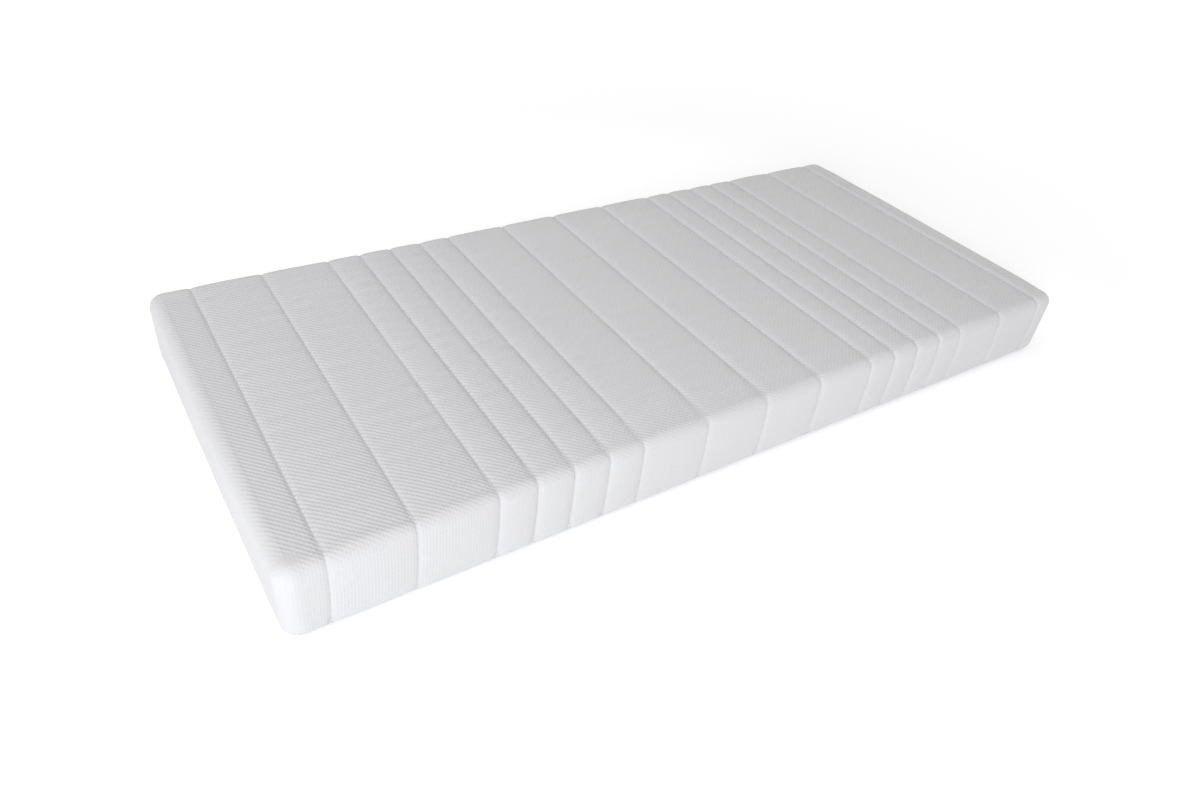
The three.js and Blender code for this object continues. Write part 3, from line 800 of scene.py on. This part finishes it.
def quilting_depth(wrap):
    """How deep the stitching pulls the cover in, by column and row."""
    x = wrap.outline.x
    lines = np.array(QUILT_LINES)
    line = np.abs(x[:, None] - lines).argmin(axis=1)
    distance = np.abs(x - lines[line])
    widths = np.array([WIDE, *CHANNELS, WIDE])
    half = np.where(x < lines[line], widths[line], widths[line + 1]) / 2

    reach = np.clip(distance / half, 0, 1)
    pillow = ((1 - reach) ** PILLOW_POWER)[:, None]
    foot = towards_foot(wrap)
    groove_width = changed(GROOVE_WIDTH, GROOVE_WIDTH_CHANGES, foot=foot)
    groove = np.exp(-((distance[:, None] / groove_width) ** GROOVE_POWER))
    pinch = np.exp(-((distance / NOTCH_WIDTH) ** 2))[:, None]

    side = wrap.normal_out ** 2
    edge = np.sin(2 * np.arcsin(np.clip(wrap.normal_out, 0, 1))) * (wrap.normal_up > 0)
    far_edge = np.exp(-(((wrap.across - FAR_EDGE) / FAR_EDGE_WIDTH) ** 2))
    pillow_depth = PILLOW_DEPTH - PILLOW_LESS_AT_EDGE * edge
    pillow_depth = changed(pillow_depth, PILLOW_CHANGES, far_edge=far_edge, low=wrap.low, foot=foot)
    groove_depth = changed(GROOVE_DEPTH, GROOVE_CHANGES, foot=foot, side=side, low=wrap.low)
    notch = smooth(-wrap.normal_up, 0, 0.2) * (1 - smooth(-wrap.normal_up, 0.25, 0.6))
    depth = pillow_depth * pillow + groove_depth * groove + NOTCH_DEPTH * notch * pinch
    puckers = np.clip(fabric_height(wrap), -FABRIC_LIMIT, FABRIC_LIMIT)
    depth -= FABRIC_GAIN * puckers * (1 - wrap.low)
    return depth * wrap.outline.fade[:, None]


def line_shift(wrap):
    """How far the cover is pulled along the mattress: the lines lean, most near the base."""
    x = wrap.outline.x[:, None]
    head = 1 - smooth(x, *LEAN_FADE)
    lean = LEAN * head * np.clip(wrap.across / WIDTH, -LEAN_LIMIT, LEAN_LIMIT)
    foot = towards_foot(wrap) + FOOT_END_SHARE * smooth(x, *FOOT_END)
    middle = LINE_SHIFT + FOOT_SHIFT * foot
    middle = middle + FOOT_SIDE_SHIFT * foot * smooth(-wrap.across, *UPPER_SIDE)
    base = BASE_SHIFT * smooth(-wrap.across, *LOWER_SIDE)
    inner = 1 - smooth(np.abs(x), QUILT_LINES[-1], CORE_X)
    return (lean + middle - base) * inner


def near_lines(wrap):
    """1 on a quilting line of the long sides, fading to 0 within a few millimetres."""
    distance = np.abs(wrap.outline.x[:, None] - np.array(QUILT_LINES)).min(axis=1)
    return (np.exp(-((distance / SEAM_RISE_WIDTH) ** 2)) * wrap.outline.straight)[:, None]


def quilted_points(wrap, up=None, push=0, held=0, deepest=COVER_DEEPEST):
    """The quilted surface's points. `held` is 1 where nothing displaces it."""
    smooth_points = wrap.points(up, push)
    along = smooth_points[:, :, 0]
    towards_edge = smooth(np.abs(wrap.across), *SHOULDER)
    shoulder = SHOULDER_DROP * towards_edge * np.clip(wrap.normal_up, 0, 1)
    rolling = ROLL_HEIGHT * np.clip(uneven(along, wrap.across, ROLLING), -2, 2)
    wrinkles = WRINKLE_HEIGHT * uneven(along, wrap.across, WRINKLES)
    inward = quilting_depth(wrap) + shoulder + rolling + wrinkles + REST_DEPTH
    inward = np.minimum(inward, deepest) * (1 - held)
    points = smooth_points - wrap.normals() * inward[:, :, None]
    drawn_up = SEAM_RISE * near_lines(wrap) * smooth(-wrap.normal_up, *SEAM_RISE_FADE)
    points[:, :, 1] -= drawn_up * wrap.normal_up * np.sign(wrap.share)
    points[:, :, 2] += drawn_up * wrap.normal_out
    points[:, :, 0] += line_shift(wrap)
    return points


END_BULGE = 0.0012
END_INSET = 0.001
END_ROLL = 0.0006
END_WRINKLE = 0.00015
END_EDGE_POWER = 24  # how close to the corners the end face keeps to their points


def end_patch(wrap, points, direction):
    """The end face's own points: a row for each level below the flat face, without its edges."""
    column = 0 if direction < 0 else -1
    rows, levels = wrap.side_rows, wrap.profile
    flat = points[column, rows:-rows]
    near = points[column, :rows][::-1][1:, None, :]
    far = points[column, -rows:][1:, None, :]
    share = wrap.share[rows:-rows]
    out, up = levels.out[1:, None], levels.up[1:, None]
    normal_out, normal_up = levels.normal_out[1:, None], levels.normal_up[1:, None]

    y = np.broadcast_to(flat[:, 1], (len(out), len(share)))
    sag = (flat[:, 2] - levels.up[0]) * np.abs(normal_up) * (normal_up * levels.normal_up[0] > 0)
    unevenness = END_ROLL * uneven(up, y, ROLLING) + END_WRINKLE * uneven(3 * up, y, WRINKLES)
    unevenness = np.clip(unevenness, -END_INSET, END_INSET)
    swell = END_BULGE * np.cos(0.5 * math.pi * share) - END_INSET + unevenness
    x = direction * (CORE_X + out + swell * normal_out)
    patch = np.stack([x, y, up + sag], axis=2)

    pull = (np.abs(share) ** END_EDGE_POWER)[None, :, None]
    edge = np.where(share[None, :, None] < 0, near, far)
    patch = patch * (1 - pull) + edge * pull
    patch[:, :, 1] = y
    return patch


CORNER_FADE = (0.006, 0.028)  # distances from a top corner
LESS_RELIEF_ON_SIDE = 0.85  # the knit is stretched flatter there
LESS_RELIEF_AT_CORNER = 0.6


def away_from_corners(points):
    """0 at the four top corners, where the knit is gathered and its relief fades, 1 elsewhere."""
    reach = EDGE_OUT / math.sqrt(2)
    offset = np.abs(points) - np.array([CORE_X + reach, CORE_Y + reach, HEIGHT])
    return smooth(np.linalg.norm(offset, axis=2), *CORNER_FADE)


def wrapped_grids(wrap, points):
    """All the points of a wrapped surface, and the grids over its sides, flat face and ends."""
    index = grid_numbers(points.shape[:2])
    rows = wrap.side_rows
    flat = slice(rows - 1, index.shape[1] - rows + 1)
    turn = wrap.outline.turn[:, None]
    round_corner = wrap.outline.x[:, None] + CORNER_REACH * turn / (math.pi / 2)
    corner_strength = 1 - LESS_RELIEF_AT_CORNER * np.abs(np.sin(2 * turn))
    taut = 1 - LESS_RELIEF_ON_SIDE * wrap.normal_out
    plane = wrap.points()

    def fabric(along, across, strength):
        return np.stack(np.broadcast_arrays(along, across, strength), axis=2)

    def side(part):
        return fabric(round_corner, wrap.across[part], corner_strength * taut[part])

    grids = [
        Grid(index[:, :rows], side(slice(0, rows))),
        Grid(index[:, flat], fabric(plane[:, flat, 0], plane[:, flat, 1], 1)),
        Grid(index[:, -rows:], side(slice(-rows, None))),
    ]
    all_points = [points.reshape(-1, 3)]
    count = index.size
    for direction, column in ((-1, 0), (1, -1)):
        patch = end_patch(wrap, points, direction)
        numbers = grid_numbers(patch.shape[:2], count)
        count += numbers.size
        all_points.append(patch.reshape(-1, 3))
        near = index[column, :rows][::-1][1:, None]
        far = index[column, -rows:][1:, None]
        level = np.concatenate([near, numbers, far], axis=1)
        end_index = np.concatenate([index[column, flat][None, :], level], axis=0)
        y = plane[column, flat, 1]
        arc = wrap.profile.arc[:, None]
        end_fabric = fabric(END_FACE_REACH - np.abs(y), CORE_Y + arc, taut[-rows:, None])
        end = Grid(end_index[:, ::direction], end_fabric[:, ::direction])
        grids.append(end)
    all_points = np.concatenate(all_points)
    for grid in grids:
        grid.fabric[:, :, 2] *= away_from_corners(all_points[grid.index])
    if wrap.normal_up[rows] < 0:
        grids = [grid.turned() for grid in grids]
    return all_points, grids


# -------------------- the quilted cover

COVER_THICKNESS = 0.0014
ROUND_STEPS = 8
LOW_STEPS = 5
UPPER_ROWS = 10

# The fabric's edge above the zip: height over the lip's edge, and how far in it is turned.
LIP_EDGE = 0.0075
LIP_RISE = [0.0022, 0.0006, 0, 0]
LIP_TURN = [0, 0.00015, 0.0010, WIDTH / 2 - TAPE_FRONT_Y - 0.0003]
LIP_HEIGHTS = [LIP_EDGE + rise for rise in LIP_RISE]
LIP_ROWS = 2 * len(LIP_RISE) + 1
OPEN_TO = TAPE_END - 0.006
SHUT_FROM = TAPE_END + 0.002
ZIP_VALLEY = 0.0020
ZIP_VALLEY_WIDTH = 0.014
ZIP_FLAT_WIDTH = 0.016


def tucked(profile, angle, depth=0.0035):
    """The profile with one more level, where the fabric turns in to the base seam."""
    radius = EDGE_RADIUS - depth
    return Profile(
        [*profile.out, EDGE_OUT + radius * math.cos(angle)],
        [*profile.up, EDGE_RADIUS - radius * math.sin(angle)],
        [*profile.normal_out, math.cos(angle)],
        [*profile.normal_up, -math.sin(angle)],
    )


def zip_rows():
    """Heights of the side's rows where the zip is, and how far each row is turned in."""
    above = np.linspace(SIDE_TOP, ZIP_Z + LIP_HEIGHTS[0], UPPER_ROWS + 2)[1:-1]
    upper = [ZIP_Z + height for height in LIP_HEIGHTS]
    lower = [ZIP_Z - height for height in reversed(LIP_HEIGHTS)]
    heights = np.array([*above, *upper, ZIP_Z, *lower, EDGE_RADIUS])
    turn = np.array([*(0 * above), *LIP_TURN, LIP_TURN[-1], *reversed(LIP_TURN), 0])
    return heights, turn


def make_cover():
    """The quilted cover, open at the zip. Gives its wrap, its points and the first lip's row."""
    zip_heights, zip_turn = zip_rows()
    side = np.linspace(SIDE_TOP, EDGE_RADIUS, len(zip_heights) + 1)[1:]
    profile = tucked(rounded_profile(0, ROUND_STEPS, side, LOW_STEPS), SEAM_ANGLE + SEAM_GAP / 3)
    wrap = Wrap(Outline(along_stations()), profile)

    opening = 1 - smooth(np.abs(wrap.outline.x), OPEN_TO, SHUT_FROM)
    opening = (opening * wrap.outline.straight)[:, None]
    first = len(wrap.up) - wrap.side_rows + ROUND_STEPS + 1
    zip_part = slice(first, first + len(zip_heights))
    zip_up = wrap.up.copy()
    zip_up[zip_part] = zip_heights
    turn = np.zeros(len(wrap.up))
    turn[zip_part] = zip_turn
    hem = turn == LIP_TURN[-1]
    far = wrap.share > 0.99
    from_zip = zip_up - ZIP_Z
    valley = ZIP_VALLEY * np.exp(-((from_zip / ZIP_VALLEY_WIDTH) ** 2)) * far * ~hem
    held = opening * far * np.exp(-((from_zip / ZIP_FLAT_WIDTH) ** 6))
    up = wrap.up + opening * (zip_up - wrap.up)
    points = quilted_points(wrap, up, opening * (turn + valley), held)

    all_points, grids = wrapped_grids(wrap, points)
    slit = (ROUND_STEPS + UPPER_ROWS + len(LIP_TURN)) // 2
    open_cells = (opening[:-2:2, 0] == 1) & (opening[2::2, 0] == 1)
    far_side = grids[2]
    far_side.keep[open_cells, slit] = False

    shell, faces, fabric = even_shell(all_points, grids, COVER_THICKNESS)
    cover = make_piece("quilted_cover", shell, faces, "cover_knit")
    store_fabric(cover, fabric)
    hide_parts("cover_top")
    return wrap, points, first + UPPER_ROWS


# -------------------- the other soft layers


def make_wadding():
    """The fibre layer under the cover, quilted with it and cut away behind the zip."""
    inset, thickness, zip_clearance = 0.0026, 0.0070, 0.019
    outline = Outline(along_stations()[::2], CORNER_STEPS // 2)
    side = np.linspace(SIDE_TOP, EDGE_RADIUS, 17)[1:]
    outside = Wrap(outline, rounded_profile(inset, 4, side, 4), CROSS_STEPS // 2 - 1)
    inside = Wrap(outline, rounded_profile(inset + thickness, 4, side, 4), CROSS_STEPS // 2 - 1)
    points, grids = wrapped_grids(outside, quilted_points(outside, deepest=WADDING_DEEPEST))
    inner_points, _ = wrapped_grids(inside, inside.points())
    far_side = grids[2]
    middles = points[far_side.index][1::2, 1::2]
    behind_zip = np.abs(middles[:, :, 2] - ZIP_Z) < zip_clearance
    far_side.keep[behind_zip & (np.abs(middles[:, :, 0]) < TAPE_END + 0.003)] = False
    shell, faces, _ = closed_shell(points, grids, lambda outer, normals, used: inner_points[used])
    wadding = make_piece("quilted_wadding", shell, faces, "wadding_fibre")
    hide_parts("quilt_wadding")


# Where the panel's edge turns in behind the cover's: angles round the lower edge, and depths.
PANEL_TUCKS = [
    (SEAM_ANGLE + 2 * SEAM_GAP / 3, 0.0040),
    (SEAM_ANGLE - SEAM_ALLOWANCE / 2, 0.0048),
    (SEAM_ANGLE - SEAM_ALLOWANCE, 0.0052),
]


def make_base_panel():
    """The flat base fabric, which turns up round the lower edge to the seam."""
    thickness, rise, unevenness = 0.0012, 0.0005, 0.00025
    angles = np.linspace(math.pi / 2, SEAM_ANGLE + SEAM_GAP, 6)
    profile = Profile(
        EDGE_OUT + EDGE_RADIUS * np.cos(angles), EDGE_RADIUS - EDGE_RADIUS * np.sin(angles),
        np.cos(angles), -np.sin(angles),
    )
    for angle, depth in PANEL_TUCKS:
        profile = tucked(profile, angle, depth)
    wrap = Wrap(Outline(along_stations()[::2], CORNER_STEPS // 2), profile, CROSS_STEPS // 3)
    points = wrap.points()
    slack = unevenness * uneven(points[:, :, 0], points[:, :, 1], ROLLING)
    points[:, :, 2] += np.clip(slack + rise, 0.0001, 0.001)
    points, grids = wrapped_grids(wrap, points)
    shell, faces, _ = even_shell(points, grids, thickness)
    panel = make_piece("base_panel", shell, faces, "base_knit")
    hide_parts("cover_base")


LABEL_RADIUS = 0.0252
LABEL_LIFT = 0.0013
LABEL_WAVE = 0.0003
LABEL_SWEEP = 38  # degrees from the seam up round the lower edge
LABEL_THICKNESS = 0.0003


def make_care_label():
    """A blank label sewn into the base seam, lifting a little from the cover at its free edge."""
    box_low, box_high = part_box("care_label")
    x = np.linspace(box_low.x, box_high.x, 25)[:, None]
    rise = np.linspace(0, 1, 13)[None, :]
    angle = SEAM_ANGLE - math.radians(LABEL_SWEEP) * rise
    wave = LABEL_WAVE * np.sin(110 * x + 2) * rise
    radius = LABEL_RADIUS + LABEL_LIFT * rise ** 1.5 + wave
    y = CORE_Y + EDGE_OUT + radius * np.cos(angle)
    z = EDGE_RADIUS - radius * np.sin(angle)
    points = np.stack(np.broadcast_arrays(x, y, z), axis=2)
    whole = Grid(grid_numbers(points.shape[:2]), points)
    shell, faces, _ = even_shell(points.reshape(-1, 3), [whole], LABEL_THICKNESS)
    label = make_piece("blank_care_label", shell, faces, "label_satin")
    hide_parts("care_label")


# -------------------- thread and zip


def tube_faces(count, rings, sides):
    """Faces of `count` closed tubes, each with this many rings of this many points."""
    numbers = np.arange(count * rings * sides).reshape(count, rings, sides)
    turned = np.roll(numbers, -1, axis=2)
    walls = np.stack([numbers[:, :-1], turned[:, :-1], turned[:, 1:], numbers[:, 1:]], axis=3)
    start_caps = numbers[:, 0, ::-1]
    end_caps = numbers[:, -1]
    return [*walls.reshape(-1, 4).tolist(), *start_caps.tolist(), *end_caps.tolist()]


def unit(vectors):
    return vectors / np.linalg.norm(vectors, axis=-1, keepdims=True)


STITCH_ARCH = np.array([-0.9, 0.35, 0.7, 0.35, -0.9])
STITCH_WIDTH = np.array([0.35, 0.9, 1.0, 0.9, 0.35])
STITCH_SIDES = 6

# Each seam's stitch pitch, stitch length and thread radius.
QUILT_STITCH = (0.0075, 0.0058, 0.00038)
LIP_STITCH = (0.0036, 0.0027, 0.00028)
LIP_STITCH_RISE = 0.0022  # from the lip's first row, away from the zip
LIP_STITCH_OUT = 0.0003


def stitches(path, normals, pitch, length, radius):
    """Arched threads along a path on a surface: points by stitch, ring and side."""
    steps = np.linalg.norm(np.diff(path, axis=0), axis=1)
    arc = np.concatenate([[0], np.cumsum(steps)])
    starts = np.arange((pitch - length) / 2, arc[-1] - length + 1e-6, pitch)
    where = starts[:, None] + length * np.linspace(0, 1, len(STITCH_ARCH))
    centre = np.stack([np.interp(where, arc, path[:, k]) for k in range(3)], axis=2)
    out = unit(np.stack([np.interp(where, arc, normals[:, k]) for k in range(3)], axis=2))
    ahead = unit(centre[:, -1:] - centre[:, :1])
    aside = unit(np.cross(ahead, out))
    centre = centre + radius * STITCH_ARCH[:, None] * out
    angle = np.linspace(0, 2 * math.pi, STITCH_SIDES + 1)[:-1][:, None]
    spoke = np.cos(angle) * out[:, :, None] - np.sin(angle) * aside[:, :, None]
    return centre[:, :, None] + radius * STITCH_WIDTH[:, None, None] * spoke


TACK_X = 0.9335
TACK_PITCH = 0.0006
TACK_COUNT = 7
TACK_REACH = 0.0036
TACK_RADIUS = 0.00034


def tack_thread(x):
    """One thread of the bar tack that holds the two tapes together past the zip's end."""
    path = np.array([(x, TAPE_FRONT_Y, ZIP_Z - TACK_REACH), (x, TAPE_FRONT_Y, ZIP_Z + TACK_REACH)])
    outward = np.array([(0, 1, 0), (0, 1, 0)])
    return stitches(path, outward, 2 * TACK_REACH, 2 * TACK_REACH, TACK_RADIUS)


def make_stitching(name, threads):
    points = np.concatenate(threads)
    count, rings, sides = points.shape[:3]
    make_piece(name, points.reshape(-1, 3), tube_faces(count, rings, sides), "cover_thread")


def make_all_stitching(wrap, points, lip_row):
    """Thread along every quilting line, and along both edges of the zip opening."""
    normals = wrap.normals()
    quilting = []
    for line in QUILT_LINES:
        column = int(np.abs(wrap.outline.x - line).argmin())
        for part in (slice(0, lip_row), slice(lip_row + LIP_ROWS, None)):
            quilting.append(stitches(points[column, part], normals[column, part], *QUILT_STITCH))
    make_stitching("quilting_thread", quilting)
    lips = []
    inside = np.abs(wrap.outline.x) < OPEN_TO
    for row, rise in ((lip_row, LIP_STITCH_RISE), (lip_row + LIP_ROWS - 1, -LIP_STITCH_RISE)):
        path = points[inside, row] + np.array([0, LIP_STITCH_OUT, rise])
        lips.append(stitches(path, normals[inside, row], *LIP_STITCH))
    make_stitching("zip_edge_thread", lips)
    tack_places = TACK_X + TACK_PITCH * np.arange(TACK_COUNT)
    tacks = [tack_thread(x) for x in (*-tack_places, *tack_places)]
    make_stitching("zip_end_tacks", tacks)


TOOTH_PITCH = 0.0016
TOOTH_HEIGHTS = np.array([0.00288, 0.00270, 0.00140, 0.00090, 0.00050, 0.00035])
TOOTH_HALF_LENGTHS = np.array([0.00022, 0.00048, 0.00048, 0.00062, 0.00062, 0.00030])
TOOTH_HALF_DEPTHS = np.array([0.00045, 0.00084, 0.00084, 0.00084, 0.00080, 0.00050])
TOOTH_SIDES = 8
TOOTH_LEAN = 0.12
TOOTH_ROOT = 0.0016
FOAM_EDGE = 0.0015
METAL_EDGE = 0.00025


def make_zip_teeth():
    """The toothed coils, one ring-shaped turn of the coil for each tooth."""
    for name, side in (("zip_coil_upper", 1), ("zip_coil_lower", -1)):
        low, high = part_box(name)
        start = low.x + TOOTH_PITCH / 2 + (0.25 - 0.25 * side) * TOOTH_PITCH
        x = np.arange(start, high.x - TOOTH_PITCH / 2, TOOTH_PITCH)[:, None, None]
        angle = np.linspace(0, 2 * math.pi, TOOTH_SIDES + 1)[:-1] * -side
        lean = TOOTH_LEAN * (TOOTH_HEIGHTS[:, None] - TOOTH_ROOT)
        tooth_x = x + lean + TOOTH_HALF_LENGTHS[:, None] * np.cos(angle)
        tooth_y = (low.y + high.y) / 2 + TOOTH_HALF_DEPTHS[:, None] * np.sin(angle)
        tooth_z = ZIP_Z + side * TOOTH_HEIGHTS[:, None]
        points = np.stack(np.broadcast_arrays(tooth_x, tooth_y, tooth_z), axis=3)
        count, rings, sides = points.shape[:3]
        teeth = make_piece(
            name + "_teeth", points.reshape(-1, 3), tube_faces(count, rings, sides), "zip_nylon",
        )
        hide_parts(name)


# -------------------- the CAD nodes that stay


def soften_edges(node, width):
    modifier = frame["nodes"][node].modifiers.new("worn_edges", "BEVEL")
    modifier.width = width
    modifier.segments = 2
    modifier.limit_method = "ANGLE"
    modifier.angle_limit = math.radians(30)


def dress_cad_nodes():
    """Every CAD node that stays gets its slot's material; the foam and zip metal nodes also get
    slightly rounded edges.
    """
    slots = {row["node"]: row["material_slot"] for row in frame["record"]["subparts"]}
    for name, node in frame["nodes"].items():
        node.data.materials.clear()
        node.data.materials.append(MATERIALS[slots[name]])
        if slots[name].endswith("_foam"):
            soften_edges(name, FOAM_EDGE)
        if slots[name] == "zip_metal":
            soften_edges(name, METAL_EDGE)


# -------------------- assembly

MATERIALS = {
    "cover_knit": cover_knit(),
    "cover_thread": thread_material(),
    "wadding_fibre": fibre_material("wadding_fibre", (0.85, 0.85, 0.83), 0.002),
    "backing_nonwoven": fibre_material("backing_nonwoven", (0.66, 0.68, 0.69), 0.0003),
    "base_knit": base_knit(),
    "label_satin": label_material(),
    "liner_jersey": jersey_material("liner_jersey", (0.8, 0.78, 0.7)),
    "slab_foam": foam_material("slab_foam", (0.42, 0.57, 0.78), 0.0022),
    "rail_foam": foam_material("rail_foam", (0.24, 0.4, 0.66), 0.0018),
    "topper_foam": foam_material("topper_foam", (0.89, 0.84, 0.63), 0.0011),
    "firm_insert_foam": foam_material("firm_insert_foam", (0.78, 0.75, 0.69), 0.0020),
    "soft_insert_foam": foam_material("soft_insert_foam", (0.66, 0.48, 0.57), 0.0024),
    "zip_woven": zip_tape_material(),
    "zip_nylon": zip_nylon_material(),
    "zip_metal": zip_metal_material(),
}

make_camera()
make_stage()
dress_cad_nodes()
cover_wrap, cover_points, zip_lip_row = make_cover()
make_wadding()
make_base_panel()
make_care_label()
make_all_stitching(cover_wrap, cover_points, zip_lip_row)
make_zip_teeth()
